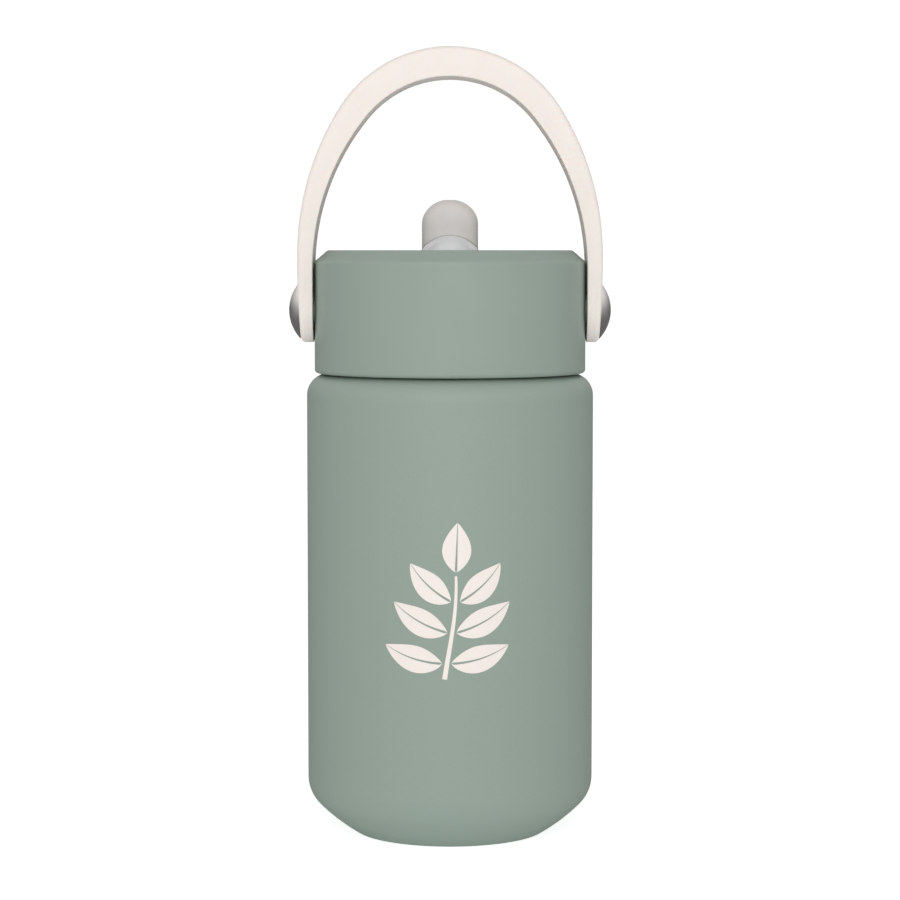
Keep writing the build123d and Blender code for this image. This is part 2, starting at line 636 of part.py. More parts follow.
for side, word in ((1, "right"), (-1, "left")):
    with BuildPart() as pivot_insert:
        with BuildSketch(pivot_plane(side, INSERT_IN)):
            RegularPolygon(INSERT_R, INSERT_SIDES)
            Circle(SCREW_R + THREAD_FIT, mode=Mode.SUBTRACT)
        extrude(amount=INSERT_OUT - INSERT_IN)
    save(pivot_insert.part, f"pivot_insert_{word}")

    with BuildPart() as pivot_bush:
        outward(BUSH_R, BOSS_FACE + FIT, SEAT_X + FIT, side)
        outward(FLANGE_R, SEAT_X + FIT, SEAT_X + FIT + FLANGE_T, side)
        outward(BUSH_BORE, BOSS_FACE, SEAT_X + 2 * FLANGE_T, side, mode=Mode.SUBTRACT)
    save(pivot_bush.part, f"pivot_bush_{word}")

    head_x = SEAT_X + FIT + FLANGE_T
    with BuildPart() as pivot_screw:
        outward(SCREW_R, SCREW_TIP, head_x, side)
        outward(HEAD_R, head_x, head_x + HEAD_T, side)
        with BuildSketch(pivot_plane(side, head_x + HEX_FLOOR)):
            RegularPolygon(HEX_R, 6)
        extrude(amount=HEAD_T, mode=Mode.SUBTRACT)
    save(pivot_screw.part, f"pivot_screw_{word}")

    with BuildPart() as pivot_cap:
        with BuildSketch(Plane(origin=(0, 0, PIVOT_Z), x_dir=(side, 0, 0), z_dir=(0, -1, 0))):
            with BuildLine():
                CenterArc((cap_centre, 0), cap_sphere, dome_turn, -dome_turn)
                Line((CAP_TOP, 0), (CAP_TOP - CAP_WALL, 0))
                inner = CenterArc((cap_centre, 0), cap_sphere - CAP_WALL, 0, ring_turn)
                Polyline(inner @ 1, (CAP_BASE, FLANGE_R + FIT), (CAP_BASE, CAP_R))
            make_face()
        revolve(axis=Axis((0, 0, PIVOT_Z), (1, 0, 0)))
    save(pivot_cap.part, f"pivot_cap_{word}")
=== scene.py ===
import json
from math import acos, atan2, cos, pi, radians, sin, sqrt

import bmesh
import bpy
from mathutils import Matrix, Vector


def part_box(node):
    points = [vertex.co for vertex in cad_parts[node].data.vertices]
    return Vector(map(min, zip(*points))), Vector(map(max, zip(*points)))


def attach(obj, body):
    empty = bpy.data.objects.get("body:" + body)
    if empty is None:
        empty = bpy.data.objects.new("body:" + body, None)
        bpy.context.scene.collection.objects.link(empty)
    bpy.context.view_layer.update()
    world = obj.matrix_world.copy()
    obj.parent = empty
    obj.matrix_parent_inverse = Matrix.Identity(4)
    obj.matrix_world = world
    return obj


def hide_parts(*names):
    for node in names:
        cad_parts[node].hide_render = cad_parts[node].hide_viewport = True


# An insulated kids bottle with a straw lid, a flip spout and a bail handle.
# Metres, Z up, front towards -Y.

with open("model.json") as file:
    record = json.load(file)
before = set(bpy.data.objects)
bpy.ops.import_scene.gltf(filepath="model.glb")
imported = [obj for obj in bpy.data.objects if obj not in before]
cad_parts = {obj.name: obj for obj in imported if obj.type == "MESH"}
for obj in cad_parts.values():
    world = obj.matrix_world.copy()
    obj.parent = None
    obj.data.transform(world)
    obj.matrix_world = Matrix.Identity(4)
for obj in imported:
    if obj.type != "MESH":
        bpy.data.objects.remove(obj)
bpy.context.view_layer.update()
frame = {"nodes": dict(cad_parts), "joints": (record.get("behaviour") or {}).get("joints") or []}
joints = {joint["name"]: joint for joint in frame["joints"]}
MM = 0.001

# ---- places read from the frame ----
_, body_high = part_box("outer_shell")
lid_low, lid_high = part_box("lid_shell")
_, bail_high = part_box("handle_bail")
spout_low, spout_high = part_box("mouthpiece")
BODY_R = body_high.x
DECK_Z = lid_high.z
PIVOT_Z = joints["handle_swing"]["pos_m"][2]
SPOUT_Z = joints["spout_flip"]["pos_m"][2]


# ------------------------------------------------------------------ camera, light and floor
CAMERA_DISTANCE = 0.700
CAMERA_SENSOR = 36  # millimetres
CAMERA_LENS = 109.7  # millimetres
AIM_Z = 0.0975


def add_camera():
    """Stands the camera in front, level with the lid's top and tilted a little down."""
    data = bpy.data.cameras.new("camera")
    data.sensor_width = CAMERA_SENSOR
    data.lens = CAMERA_LENS
    camera = bpy.data.objects.new("camera", data)
    camera.location = (0, -CAMERA_DISTANCE, DECK_Z)
    towards = Vector((0, 0, AIM_Z)) - camera.location
    camera.rotation_euler = towards.to_track_quat("-Z", "Y").to_euler()
    bpy.context.scene.collection.objects.link(camera)
    bpy.context.scene.camera = camera


def add_light(name, place, aim, size, power):
    """A square softbox at place, turned towards aim."""
    data = bpy.data.lights.new(name, "AREA")
    data.size = size
    data.energy = power
    light = bpy.data.objects.new(name, data)
    light.location = place
    towards = Vector(aim) - Vector(place)
    light.rotation_euler = towards.to_track_quat("-Z", "Y").to_euler()
    bpy.context.scene.collection.objects.link(light)


ROOM_FRONT = 0.98  # brightness of the room in front of the bottle
ROOM_BACK = 0.13  # and behind it
ROOM_LOW, ROOM_HIGH = 1.1, 0.86  # share of that brightness straight below and straight above
ROOM_SHEEN = 1.1  # extra brightness overhead that only glossy reflections show
ROOM_COLOR = (1.0, 0.995, 0.985, 1)
BACKDROP = 1.05  # brightness of the white that the camera sees behind the bottle
KEY_PLACE = (-0.1, -1.7, 0.4)
KEY_SIZE = 1.5
KEY_POWER = 7.4  # watts
FLOOR_R = 1.0


def add_studio():
    """Soft light, brightest in front, with a white backdrop for the camera."""
    centre = (0, 0, DECK_Z / 2)
    add_light("key", KEY_PLACE, centre, KEY_SIZE, KEY_POWER)

    world = bpy.data.worlds.new("studio")
    bpy.context.scene.world = world
    world.use_nodes = True
    tree = world.node_tree
    tree.nodes.clear()
    path = tree.nodes.new("ShaderNodeLightPath")
    direction = tree.nodes.new("ShaderNodeTexCoord")
    split = tree.nodes.new("ShaderNodeSeparateXYZ")
    tree.links.new(direction.outputs["Generated"], split.inputs[0])

    def ramp(axis, start, end, low, high):
        """Goes from low to high as the direction's share along an axis goes from start to end."""
        node = tree.nodes.new("ShaderNodeMapRange")
        tree.links.new(split.outputs[axis], node.inputs["Value"])
        limits = (("From Min", start), ("From Max", end), ("To Min", low), ("To Max", high))
        for name, value in limits:
            node.inputs[name].default_value = value
        return node.outputs[0]

    def combine(operation, a, b):
        node = tree.nodes.new("ShaderNodeMath")
        node.operation = operation
        tree.links.new(a, node.inputs[0])
        tree.links.new(b, node.inputs[1])
        return node.outputs[0]

    depth = ramp("Y", -1, 0.8, ROOM_FRONT, ROOM_BACK)
    soft = combine("MULTIPLY", depth, ramp("Z", -1, 1, ROOM_LOW, ROOM_HIGH))
    overhead = ramp("Z", 0.02, 0.5, 0.0, ROOM_SHEEN)
    sheen = combine("MULTIPLY", overhead, path.outputs["Is Glossy Ray"])
    room = tree.nodes.new("ShaderNodeBackground")
    room.inputs["Color"].default_value = ROOM_COLOR
    tree.links.new(combine("ADD", soft, sheen), room.inputs["Strength"])
    white = tree.nodes.new("ShaderNodeBackground")
    white.inputs["Color"].default_value = (1, 1, 1, 1)
    white.inputs["Strength"].default_value = BACKDROP
    mix = tree.nodes.new("ShaderNodeMixShader")
    out = tree.nodes.new("ShaderNodeOutputWorld")
    tree.links.new(path.outputs["Is Camera Ray"], mix.inputs["Fac"])
    tree.links.new(room.outputs[0], mix.inputs[1])
    tree.links.new(white.outputs[0], mix.inputs[2])
    tree.links.new(mix.outputs[0], out.inputs["Surface"])

    bpy.ops.mesh.primitive_circle_add(
        vertices=96, radius=FLOOR_R, fill_type="NGON", location=(0, 0, 0)
    )
    floor = bpy.context.object
    floor.name = "floor"
    floor.data.materials.append(lit_floor())

    bpy.context.scene.view_settings.view_transform = "Standard"


def lit_floor():
    """A white floor with a little light of its own, which shows darker in glossy reflections."""
    finish = Finish("floor_white", (0.85, 0.85, 0.85), 0.9, Specular_IOR_Level=0.1)
    path = finish.add("ShaderNodeLightPath")
    finish.shader.inputs["Emission Color"].default_value = (1, 1, 1, 1)
    bounce = finish.math("MULTIPLY", path.outputs["Is Diffuse Ray"], 0.6)
    glow = finish.math("ADD", path.outputs["Is Camera Ray"], bounce)
    finish.vary("Emission Strength", glow, 0.05, 0.72)
    finish.vary("Base Color", path.outputs["Is Glossy Ray"], 0.8, 0.2)
    return finish.material


# ------------------------------------------------------------------ materials
class Finish:
    """A Principled material and the texture nodes that shape it. Sizes are in metres."""

    def __init__(self, name, color, roughness, **sockets):
        self.material = bpy.data.materials.new(name)
        self.material.use_nodes = True
        self.tree = self.material.node_tree
        self.shader = self.tree.nodes["Principled BSDF"]
        self.color = color
        self.shader.inputs["Base Color"].default_value = (*color, 1)
        self.shader.inputs["Roughness"].default_value = roughness
        for socket, value in sockets.items():
            self.shader.inputs[socket.replace("_", " ")].default_value = value
        self.place = self.add("ShaderNodeTexCoord").outputs["Object"]
        self.normal = None

    def add(self, kind, inputs=(), **settings):
        """Adds a node. An input given as a socket is linked, and any other input is a value."""
        node = self.tree.nodes.new(kind)
        for name, value in settings.items():
            setattr(node, name, value)
        for name, value in dict(inputs).items():
            if isinstance(value, bpy.types.NodeSocket):
                self.tree.links.new(value, node.inputs[name])
            else:
                node.inputs[name].default_value = value
        return node

    def math(self, operation, a, b=0.0):
        return self.add("ShaderNodeMath", {0: a, 1: b}, operation=operation).outputs[0]

    def noise(self, size, detail=2.0, place=None):
        """Noise with blotches about this large, from 0 to 1."""
        inputs = {"Vector": place or self.place, "Scale": 1 / size, "Detail": detail}
        return self.add("ShaderNodeTexNoise", inputs).outputs["Fac"]

    def scaled(self, x, y, z):
        """The surface's place, stretched along each axis, for grain and brushing."""
        inputs = {"Vector": self.place, "Scale": (x, y, z)}
        return self.add("ShaderNodeMapping", inputs).outputs["Vector"]

    def axis(self, name):
        return self.add("ShaderNodeSeparateXYZ", {"Vector": self.place}).outputs[name]

    def ring_place(self, a, b, centre_b):
        """A place that depends only on the distance from an axis, for turning marks."""
        shifted = self.math("SUBTRACT", self.axis(b), centre_b)
        first = self.math("POWER", self.axis(a), 2)
        square = self.math("ADD", first, self.math("POWER", shifted, 2))
        distance = self.math("SQRT", square)
        return self.add("ShaderNodeCombineXYZ", {"X": distance}).outputs[0]

    def step(self, value, low, high):
        """0 below low, 1 above high and smooth between them."""
        inputs = {"Value": value, "From Min": low, "From Max": high}
        return self.add("ShaderNodeMapRange", inputs, interpolation_type="SMOOTHSTEP").outputs[0]

    def vary(self, socket, by, low, high):
        """Drives one of the shader's sockets from low to high."""
        inputs = {"Value": by, "To Min": low, "To Max": high}
        result = self.add("ShaderNodeMapRange", inputs).outputs[0]
        self.tree.links.new(result, self.shader.inputs[socket])
        return result

    def tint(self, by, other, source=None):
        """Mixes the base colour towards another one. Returns the mixed colour."""
        first = source or (*self.color, 1)
        inputs = {"Factor": by, 6: first, 7: (*other, 1)}
        mixed = self.add("ShaderNodeMix", inputs, data_type="RGBA").outputs[2]
        self.tree.links.new(mixed, self.shader.inputs["Base Color"])
        return mixed

    def bump(self, height, depth):
        """Adds relief of this depth, on top of any added before."""
        inputs = {"Height": height, "Distance": depth, "Strength": 1.0}
        if self.normal:
            inputs["Normal"] = self.normal
        self.normal = self.add("ShaderNodeBump", inputs).outputs["Normal"]
        self.tree.links.new(self.normal, self.shader.inputs["Normal"])


SAGE = (0.292, 0.365, 0.315)
CREAM = (0.93, 0.858, 0.81)
STEEL = (0.60, 0.59, 0.575)
GREY_SILICONE = (0.70, 0.672, 0.65)


def shaded(color, factor):
    return tuple(channel * factor for channel in color)


def powder_coat():
    """Sage powder coat with a fine orange peel. The neck above the shoulder is bare steel."""
    finish = Finish("powder_coat", SAGE, 0.5)
    neck = finish.step(finish.axis("Z"), lid_low.z + 0.2 * MM, lid_low.z + 0.5 * MM)
    speckle = finish.noise(0.35 * MM, 1)
    coat = finish.tint(finish.step(speckle, 0.55, 0.75), shaded(SAGE, 1.06))
    finish.tint(neck, STEEL, coat)
    finish.vary("Metallic", neck, 0, 1)
    finish.vary("Roughness", finish.noise(6 * MM, 2), 0.44, 0.56)
    finish.bump(finish.noise(1.1 * MM, 1), 0.018 * MM)
    finish.bump(speckle, 0.006 * MM)
    return finish.material


def moulded(name, color, roughness, grain=0.30 * MM, depth=0.006 * MM, **sockets):
    """Moulded plastic with a fine spark-eroded grain and faint flow marks."""
    finish = Finish(name, color, roughness, **sockets)
    flow = finish.noise(9 * MM, 2, finish.scaled(1, 1, 0.4))
    finish.tint(finish.step(flow, 0.35, 0.8), shaded(color, 0.975))
    finish.vary("Roughness", flow, roughness - 0.05, roughness + 0.05)
    finish.bump(finish.noise(grain, 2), depth)
    return finish.material


def silicone(name, color, roughness=0.42):
    """Soft silicone rubber: some light enters it, and a faint dust film changes its gloss."""
    sockets = {"Subsurface_Weight": 0.25, "Subsurface_Scale": 1.2 * MM}
    finish = Finish(name, color, roughness, **sockets)
    film = finish.noise(3 * MM, 3)
    finish.tint(finish.step(film, 0.4, 0.8), shaded(color, 0.97))
    finish.vary("Roughness", film, roughness - 0.06, roughness + 0.08)
    finish.bump(finish.noise(0.5 * MM, 1), 0.004 * MM)
    return finish.material


def turned_steel(name, color, roughness, across, centre, depth=0.002 * MM):
    """Polished steel with fine concentric marks round an axis."""
    finish = Finish(name, color, roughness, Metallic=1.0)
    rings = finish.noise(0.16 * MM, 2, finish.ring_place(*across, centre))
    smudge = finish.noise(4 * MM, 2)
    finish.tint(finish.step(rings, 0.3, 0.7), shaded(color, 0.93))
    finish.vary("Roughness", smudge, roughness - 0.04, roughness + 0.06)
    finish.bump(rings, depth)
    return finish.material


def drawn_steel(name, color, roughness):
    """Deep-drawn sheet with fine marks along the bottle's axis."""
    finish = Finish(name, color, roughness, Metallic=1.0)
    grain = finish.noise(0.25 * MM, 3, finish.scaled(1, 1, 0.05))
    finish.tint(finish.step(grain, 0.3, 0.75), shaded(color, 0.9))
    finish.vary("Roughness", grain, roughness - 0.05, roughness + 0.08)
    finish.bump(grain, 0.003 * MM)
    return finish.material


def crinkled_foil():
    finish = Finish("foil", (0.78, 0.78, 0.79), 0.22, Metallic=1.0)
    finish.bump(finish.noise(5 * MM, 4), 0.35 * MM)
    finish.vary("Roughness", finish.noise(2 * MM, 2), 0.16, 0.3)
    return finish.material


def sintered(name, color, roughness):
    """Matt grainy metal, for the getter and the solder bead."""
    finish = Finish(name, color, roughness, Metallic=0.9)
    grain = finish.noise(0.2 * MM, 3)
    finish.tint(grain, shaded(color, 0.7))
    finish.bump(grain, 0.02 * MM)
    return finish.material


def clear_plastic():
    """Glossy milky plastic that lets a quarter of the light through, with faint ripples."""
    sockets = {"Transmission_Weight": 0.25, "IOR": 1.45}
    finish = Finish("clear_plastic", (0.97, 0.98, 1.0), 0.08, **sockets)
    ripple = finish.noise(5 * MM, 1)
    finish.vary("Roughness", ripple, 0.06, 0.11)
    finish.bump(ripple, 0.02 * MM)
    return finish.material


def printed_ink():
    """Screen-printed cream ink, satin, with the coat's orange peel showing through."""
    finish = Finish("printed_ink", CREAM, 0.5)
    grain = finish.noise(0.5 * MM, 2)
    finish.tint(finish.step(grain, 0.45, 0.8), shaded(CREAM, 0.965))
    finish.bump(finish.noise(1.1 * MM, 1), 0.014 * MM)
    finish.bump(grain, 0.006 * MM)
    return finish.material


def dress_cad_nodes():
    """Gives every CAD node its finish, and returns the finishes by node."""
    cap = turned_steel("cap_steel", (0.72, 0.705, 0.69), 0.3, ("Y", "Z"), PIVOT_Z)
    base = turned_steel("base_steel", STEEL, 0.34, ("X", "Y"), 0)
    screw = turned_steel("screw_steel", (0.5, 0.5, 0.5), 0.35, ("Y", "Z"), PIVOT_Z)
    white = silicone("white_silicone", (0.74, 0.74, 0.72))
    brass = turned_steel("insert_brass", (0.70, 0.52, 0.25), 0.3, ("Y", "Z"), PIVOT_Z)
    nylon = moulded("bush_nylon", (0.68, 0.66, 0.60), 0.4)
    straw_sockets = {"Subsurface_Weight": 0.2}
    handle_sockets = {"Subsurface_Weight": 0.2, "Subsurface_Scale": 1.5 * MM}
    finishes = {
        "outer_shell": powder_coat(),
        "inner_liner": drawn_steel("liner_steel", STEEL, 0.3),
        "heat_shield_foil": crinkled_foil(),
        "getter": sintered("getter_metal", (0.28, 0.28, 0.29), 0.6),
        "vacuum_base": drawn_steel("bare_steel", shaded(STEEL, 0.9), 0.4),
        "seal_bead": sintered("solder", (0.55, 0.55, 0.57), 0.4),
        "base_plate": base,
        "lid_gasket": white,
        "lid_shell": moulded("lid_plastic", SAGE, 0.5),
        "lid_insert": moulded("insert_plastic", (0.72, 0.72, 0.69), 0.45),
        "port_seal": white,
        "vent_valve": white,
        "straw_connector": silicone("connector_silicone", (0.6, 0.58, 0.55)),
        "straw": moulded(
            "straw_plastic", (0.78, 0.77, 0.74), 0.35, depth=0.003 * MM, **straw_sockets
        ),
        "spout_ball": clear_plastic(),
        "handle_bail": moulded("handle_plastic", CREAM, 0.5, **handle_sockets),
        "mouthpiece": silicone("spout_silicone", GREY_SILICONE),
    }
    for side in ("left", "right"):
        finishes[f"pivot_insert_{side}"] = brass
        finishes[f"pivot_bush_{side}"] = nylon
        finishes[f"pivot_screw_{side}"] = screw
        finishes[f"pivot_cap_{side}"] = cap
    for node, material in finishes.items():
        mesh = frame["nodes"][node].data
        mesh.materials.clear()
        mesh.materials.append(material)
    return finishes


# ------------------------------------------------------------------ mesh helpers
def make_piece(name, mesh_data, material, smooth_angle=radians(35)):
    """Turns a bmesh into an object with consistent normals and smooth shading below an angle."""
    bmesh.ops.recalc_face_normals(mesh_data, faces=mesh_data.faces)
    mesh = bpy.data.meshes.new(name)
    mesh_data.to_mesh(mesh)
    mesh_data.free()
    mesh.polygons.foreach_set("use_smooth", [True] * len(mesh.polygons))
    mesh.set_sharp_from_angle(angle=smooth_angle)
    mesh.materials.append(material)
    piece = bpy.data.objects.new(name, mesh)
    bpy.context.scene.collection.objects.link(piece)
    return piece


def bridge(mesh_data, first, second, closed=True):
    """Joins two equal rows of vertices with quads."""
    count = len(first)
    for i in range(count if closed else count - 1):
        j = (i + 1) % count
        mesh_data.faces.new((first[i], first[j], second[j], second[i]))


# ------------------------------------------------------------------ printed sprig
PRINT_R = BODY_R + 0.07 * MM
PRINT_ROOT_R = BODY_R - 0.05 * MM
PRINT_LOW = 44.0 * MM
PRINT_HIGH = 82.4 * MM
STEM_STEPS = 30
STEM_SHARE = 0.66  # of the motif's height
LEAF_STEPS = 22
LEAF_HALF_WIDTH = 3.2 * MM
TOP_LEAF_HALF_WIDTH = 3.5 * MM
LEAF_BEND = 30  # degrees
# Where each pair of leaves leaves the stem, its angle in degrees and its length in millimetres.
LEAF_PAIRS = ((0.14, 74, 15.2), (0.44, 62, 15.4), (0.74, 48, 13.8))


def on_body(across, up, radius):
    """A point on the flask's front, at a distance across it and a height."""
    angle = across / BODY_R
    return (radius * sin(angle), -radius * cos(angle), up)


def add_print_strip(mesh_data, left, right, columns=4):
    """A thin closed skin between two rows of (across, up) points, wrapped on the flask."""
    layers = []
    for radius in (PRINT_R, PRINT_ROOT_R):
        rows = []
        for a, b in zip(left, right):
            places = [Vector(a).lerp(Vector(b), i / columns) for i in range(columns + 1)]
            rows.append([mesh_data.verts.new(on_body(p.x, p.y, radius)) for p in places])
        for low_row, high_row in zip(rows, rows[1:]):
            bridge(mesh_data, low_row, high_row, closed=False)
        layers.append(rows)
    top, root = layers
    for edge in (0, -1):
        bridge(mesh_data, [row[edge] for row in top], [row[edge] for row in root], closed=False)
        bridge(mesh_data, top[edge], root[edge], closed=False)


def add_leaf(mesh_data, base, angle, length, width, bend):
    """A pointed leaf in two halves, with the bare vein between them.

    The angle is from straight up, clockwise.
    """
    steps = LEAF_STEPS
    spine, normals = [], []
    for i in range(steps + 1):
        t = i / steps
        heading = angle + bend * (t - 0.5)
        if i == 0:
            spine.append(Vector(base))
        else:
            spine.append(spine[-1] + Vector((sin(heading), cos(heading))) * length / steps)
        normals.append(Vector((cos(heading), -sin(heading))))
    for side in (-1, 1):
        vein, edge = [], []
        for i, (point, normal) in enumerate(zip(spine, normals)):
            t = i / steps
            gap = 0.26 * MM * (1 - t) + 0.05 * MM
            half = width * sin(pi * t**0.85) ** 0.9 + 0.06 * MM
            vein.append(point + normal * side * min(gap, half * 0.8))
            edge.append(point + normal * side * half)
        add_print_strip(mesh_data, vein, edge)


def add_sprig(material):
    """The printed motif: a plain sprig of leaves on a curved stem."""
    mesh_data = bmesh.new()
    height = PRINT_HIGH - PRINT_LOW
    steps = STEM_STEPS
    stem, left, right = [], [], []
    for i in range(steps + 1):
        t = i / steps
        sway = 1.8 * MM * sin(2.4 * t - 0.6) - 0.3 * MM
        stem.append(Vector((sway, PRINT_LOW + t * height * STEM_SHARE)))
    for i, point in enumerate(stem):
        ahead = stem[min(i + 1, steps)] - stem[max(i - 1, 0)]
        normal = Vector((ahead.y, -ahead.x)).normalized()
        half = (0.62 - 0.30 * i / steps) * MM
        left.append(point - normal * half)
        right.append(point + normal * half)
    add_print_strip(mesh_data, left, right)
    for share, spread, length in LEAF_PAIRS:
        point = stem[round(share * steps)]
        for side in (-1, 1):
            start = point + Vector((side * 1.1 * MM, 0.5 * MM))
            angle, bend = side * radians(spread), side * radians(-LEAF_BEND)
            add_leaf(mesh_data, start, angle, length * MM, LEAF_HALF_WIDTH, bend)
    gap = 0.9 * MM
    start = stem[-1] + Vector((0, gap))
    add_leaf(mesh_data, start, radians(2), height * 0.34 - gap, TOP_LEAF_HALF_WIDTH, 0)
    sprig = make_piece("printed_sprig", mesh_data, material)
    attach(sprig, "flask")


# ------------------------------------------------------------------ handle
ARM_IN = 34.65 * MM
BOSS_FACE = 34.75 * MM  # the strap's inner face is cut back to here round the lid's boss
EYE_R = bail_high.y
OUTER_EDGE = 1.15 * MM  # rounding of the strap's outer edges
INNER_EDGE = 0.3 * MM  # and of those against the lid
STRAP_CROWN = 0.22 * MM
OUTER_ARCH = {"half": bail_high.x, "side": 70.0 * MM, "top": 33.0 * MM, "wide": 147.0 * MM}
INNER_ARCH = {"half": ARM_IN, "side": 60.8 * MM, "top": 27.0 * MM, "wide": 143.6 * MM}
ARM_LOW_R = 300 * MM
STRAP_COLUMNS = 10
EDGE_STEPS = 6
TIP_STEPS, ARM_STEPS, ARCH_STEPS = 15, 8, 40
TIP_STEP = 6  # degrees
HOLE_SEGMENTS = 96
BORE_R = 3.05 * MM
BOSS_CUT_R = 4.4 * MM
SEAT_R = 7.38 * MM
SEAT_X = 37.85 * MM


def ray_to_circle(origin, direction, centre, radius):
    """Where a ray from inside a circle leaves it."""
    to_centre = centre - origin
    along = to_centre.dot(direction)
    return origin + direction * (along + sqrt(radius**2 - to_centre.length_squared + along**2))


def arch_point(arch, origin, direction):
    """Where a ray from a point on the bottle's axis meets an arch, as (x, z) on the +X side."""
    side_centre = Vector((arch["half"] - arch["side"], arch["wide"]))
    turn = acos((arch["side"] - arch["half"]) / (arch["side"] - arch["top"]))
    top_centre = Vector((0, arch["wide"] + (arch["side"] - arch["top"]) * sin(turn)))
    hit = ray_to_circle(origin, direction, side_centre, arch["side"])
    if atan2(hit.y - side_centre.y, hit.x - side_centre.x) > turn:
        hit = ray_to_circle(origin, direction, top_centre, arch["top"])
    if hit.y < arch["wide"]:
        hit.x = origin.x + direction.x * (arch["half"] - origin.x) / direction.x
    return hit


def strap_pair(station):
    """Outer and inner (x, z) of the strap. Stations below 0 are metres down an arm.

    From 0 to 1 they are the share of the way up to the apex.
    """
    centre = Vector((0, OUTER_ARCH["wide"]))
    if station <= 0:
        z = centre.y + station
        drop = ARM_LOW_R - sqrt(ARM_LOW_R**2 - station**2)
        inner = ARM_IN
        if z > INNER_ARCH["wide"]:
            side, rise = INNER_ARCH["side"], z - INNER_ARCH["wide"]
            inner -= side - sqrt(side**2 - rise**2)
        return Vector((OUTER_ARCH["half"] - drop, z)), Vector((inner, z))
    direction = Vector((cos(station * pi / 2), sin(station * pi / 2)))
    return arch_point(OUTER_ARCH, centre, direction), arch_point(INNER_ARCH, centre, direction)


def strap_stations():
    """(station, end angle) from the right arm's tip to the apex. The angle opens the round end."""
    pivot = PIVOT_Z - OUTER_ARCH["wide"]
    tip = [(pivot, radians(90 - TIP_STEP * i)) for i in range(TIP_STEPS)]
    arm = [(pivot * (1 - i / ARM_STEPS), 0.0) for i in range(ARM_STEPS + 1)]
    arch = [(i / ARCH_STEPS, 0.0) for i in range(1, ARCH_STEPS + 1)]
    return tip + arm + arch


def strap_place(station, end_angle, inset, depth, across, side):
    """A point of the strap. Depth goes from 0 outside to 1 inside, and across from -1 to 1."""
    half = EYE_R - inset
    along = station
    width = half
    if end_angle:
        along = station - half * sin(end_angle)
        width = half * cos(end_angle)
    outer, inner = strap_pair(along)
    thickness = (outer - inner).length
    y = across * width
    crown = STRAP_CROWN * (y / EYE_R) ** 2
    sunk = crown + depth * (thickness - crown)
    place = outer + (inner - outer) * sunk / thickness
    return Vector((side * place.x, y, place.y))


def add_handle(material):
    """The strap: crowned outer face, rounded edges, round ends and two pivot holes."""
    half_stations = strap_stations()
    path = [(s, a, 1) for s, a in half_stations]
    path += [(s, a, -1) for s, a in reversed(half_stations[:-1])]
    layers = []
    for i in range(EDGE_STEPS + 1):
        turn = radians(90) * i / EDGE_STEPS
        layers.append((OUTER_EDGE * (1 - sin(turn)), OUTER_EDGE * (1 - cos(turn)), 0))
    for i in range(EDGE_STEPS + 1):
        turn = radians(90) * (1 - i / EDGE_STEPS)
        layers.append((INNER_EDGE * (1 - sin(turn)), INNER_EDGE * (1 - cos(turn)), 1))

    mesh_data = bmesh.new()

    def vertex(stop, inset, sink, inner, across):
        """A vertex at a stop of the path, sunk below the outer face or above the inner one."""
        station, end_angle, side = stop
        place = strap_place(station, end_angle, inset, inner, across, side)
        along = station - (EYE_R - inset) * sin(end_angle) if end_angle else station
        outer, inside = strap_pair(along)
        inward = (inside - outer).normalized() * (-sink if inner else sink)
        return mesh_data.verts.new(place + Vector((side * inward.x, 0, inward.y)))

    rings = []
    for inset, sink, inner in layers:
        front = [vertex(stop, inset, sink, inner, 1) for stop in path]
        back = [vertex(stop, inset, sink, inner, -1) for stop in path[1:-1]]
        rings.append(front + back[::-1])
    for first, second in zip(rings, rings[1:]):
        bridge(mesh_data, first, second)

    columns = STRAP_COLUMNS
    last = len(path) - 1
    for ring, (inset, sink, inner) in ((rings[0], layers[0]), (rings[-1], layers[-1])):
        front = ring[: last + 1]
        back = [ring[0]] + ring[last + 1:][::-1] + [ring[last]]
        rows = []
        for i in range(1, last):
            shares = [1 - 2 * j / columns for j in range(1, columns)]
            middle = [vertex(path[i], inset, sink, inner, across) for across in shares]
            rows.append([front[i]] + middle + [back[i]])
        for first, second in zip(rows, rows[1:]):
            bridge(mesh_data, first, second, closed=False)
        for tip, row in ((ring[0], rows[0]), (ring[last], rows[-1])):
            for a, b in zip(row, row[1:]):
                mesh_data.faces.new((tip, a, b))

    handle = make_piece("handle_strap", mesh_data, material)
    cut_pivot_holes(handle)
    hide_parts("handle_bail")
    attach(handle, "handle")


def cut_pivot_holes(handle):
    """Bores the pivot holes, the seats for the caps and the room round the lid's bosses."""
    cutter_data = bmesh.new()
    profile = (
        (ARM_IN - 4 * MM, BOSS_CUT_R),
        (BOSS_FACE, BOSS_CUT_R),
        (BOSS_FACE, BORE_R),
        (SEAT_X, BORE_R),
        (SEAT_X, SEAT_R),
        (SEAT_X + 8 * MM, SEAT_R),
    )
    for side in (1, -1):
        rings = []
        for x, radius in profile:
            ring = []
            for i in range(HOLE_SEGMENTS):
                angle = 2 * pi * i / HOLE_SEGMENTS
                place = (side * x, radius * cos(angle), PIVOT_Z + radius * sin(angle))
                ring.append(cutter_data.verts.new(place))
            rings.append(ring)
        for first, second in zip(rings, rings[1:]):
            bridge(cutter_data, first, second)
        cutter_data.faces.new(rings[0])
        cutter_data.faces.new(rings[-1])
    cutter = make_piece("pivot_cutter", cutter_data, handle.data.materials[0])
    cut = handle.modifiers.new("pivot_holes", "BOOLEAN")
    cut.operation = "DIFFERENCE"
    cut.solver = "EXACT"
    cut.object = cutter
    bpy.context.view_layer.objects.active = handle
    bpy.ops.object.modifier_apply(modifier=cut.name)
    bpy.data.objects.remove(cutter)
    handle.data.set_sharp_from_angle(angle=radians(35))


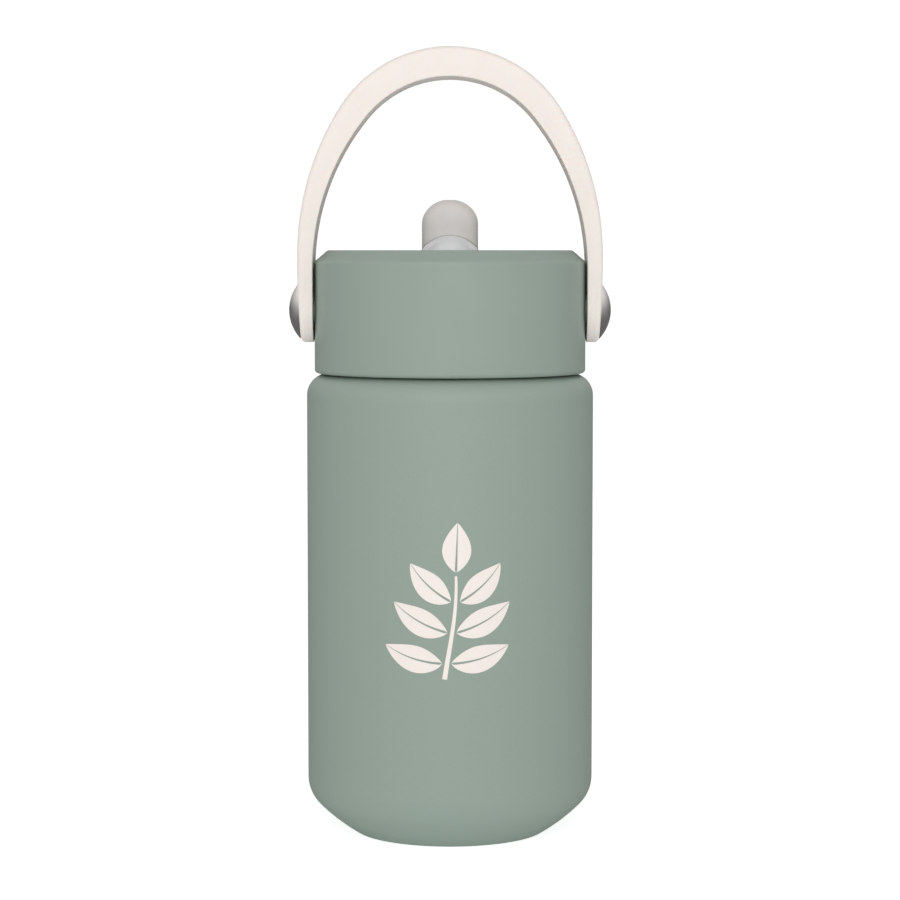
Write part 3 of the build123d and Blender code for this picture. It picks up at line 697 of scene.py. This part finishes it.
# ------------------------------------------------------------------ soft mouthpiece
BALL_R = 8.35 * MM
MOUTH_Y = (spout_low.y + spout_high.y) / 2
MOUTH_HALF_W = spout_high.x
MOUTH_HALF_D = (spout_high.y - spout_low.y) / 2
MOUTH_DOME = 6.25 * MM
CAVITY_R = 3.25 * MM
CAVITY_TOP = SPOUT_Z + 12.35 * MM
SLIT = (1.4 * MM, 0.8 * MM)  # half length and half width
MOUTH_AROUND = 96
MOUTH_POWER = 2.7  # of the superellipse: 2 is an ellipse, and more is squarer
MOUTH_EDGE = 0.12 * MM
BODY_STEPS, DOME_STEPS, BROW_STEPS = 8, 26, 6


def oval(half_x, half_y, power, z=None):
    """A closed row of points on a superellipse round the spout. With no z it lies on the ball."""
    row = []
    for i in range(MOUTH_AROUND):
        angle = 2 * pi * i / MOUTH_AROUND
        c, s = cos(angle), sin(angle)
        x = half_x * abs(c) ** (2 / power) * (1 if c >= 0 else -1)
        y = MOUTH_Y + half_y * abs(s) ** (2 / power) * (1 if s >= 0 else -1)
        height = z if z is not None else SPOUT_Z + sqrt(BALL_R**2 - x * x - y * y)
        row.append(Vector((x, y, height)))
    return row


def add_mouthpiece(material):
    """The grey spout: an oval body, a domed top and a drinking slit that leads down inside."""
    power, edge = MOUTH_POWER, MOUTH_EDGE
    dome_z = spout_high.z - MOUTH_DOME
    sitting = oval(MOUTH_HALF_W, MOUTH_HALF_D, power)
    rows = [oval(MOUTH_HALF_W - edge, MOUTH_HALF_D - edge, power)]
    for i in range(BODY_STEPS + 1):
        share = (i / BODY_STEPS) ** 1.4
        lift = edge * (1 - share)
        heights = [p.z + lift + (dome_z - p.z - lift) * share for p in sitting]
        rows.append([Vector((p.x, p.y, height)) for p, height in zip(sitting, heights)])
    slit_turn = acos(SLIT[0] * 1.6 / MOUTH_HALF_W)
    for i in range(1, DOME_STEPS + 1):
        turn = slit_turn * i / DOME_STEPS
        share = i / DOME_STEPS
        depth = MOUTH_HALF_D * cos(turn) ** 0.62
        roundness = power + (2 - power) * share**2
        height = dome_z + MOUTH_DOME * sin(turn)
        rows.append(oval(MOUTH_HALF_W * cos(turn), depth, roundness, height))
    brow_x, brow_y = rows[-1][0].x, max(p.y for p in rows[-1]) - MOUTH_Y
    for i in range(1, BROW_STEPS + 1):
        half_x = brow_x + (SLIT[0] - brow_x) * i / BROW_STEPS
        half_y = brow_y + (SLIT[1] - brow_y) * i / BROW_STEPS
        peak = dome_z + MOUTH_DOME * sqrt(1 - (half_x / MOUTH_HALF_W) ** 2)
        rows.append(oval(half_x, half_y, 2, peak))
    for depth in (0.08, 0.5, 2.0, 3.6):
        rows.append(oval(SLIT[0] * 0.97, SLIT[1] * 0.95, 2, peak - depth * MM))
    rows.append(oval(CAVITY_R * 0.8, CAVITY_R * 0.8, 2, CAVITY_TOP + 0.1 * MM))
    rows.append(oval(CAVITY_R, CAVITY_R, 2, CAVITY_TOP - 0.3 * MM))
    rows.append(oval(CAVITY_R, CAVITY_R, 2))
    for share in (0.35, 0.7):
        half_x = CAVITY_R + (MOUTH_HALF_W - edge - CAVITY_R) * share
        half_y = CAVITY_R + (MOUTH_HALF_D - edge - CAVITY_R) * share
        rows.append(oval(half_x, half_y, 2 + (power - 2) * share))

    mesh_data = bmesh.new()
    loops = [[mesh_data.verts.new(point) for point in row] for row in rows]
    for first, second in zip(loops, loops[1:] + loops[:1]):
        bridge(mesh_data, first, second)
    mouthpiece = make_piece("soft_spout", mesh_data, material, radians(60))
    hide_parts("mouthpiece")
    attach(mouthpiece, "spout")


# ------------------------------------------------------------------ the scene
add_camera()
add_studio()
finishes = dress_cad_nodes()
add_sprig(printed_ink())
add_handle(finishes["handle_bail"])
add_mouthpiece(finishes["mouthpiece"])
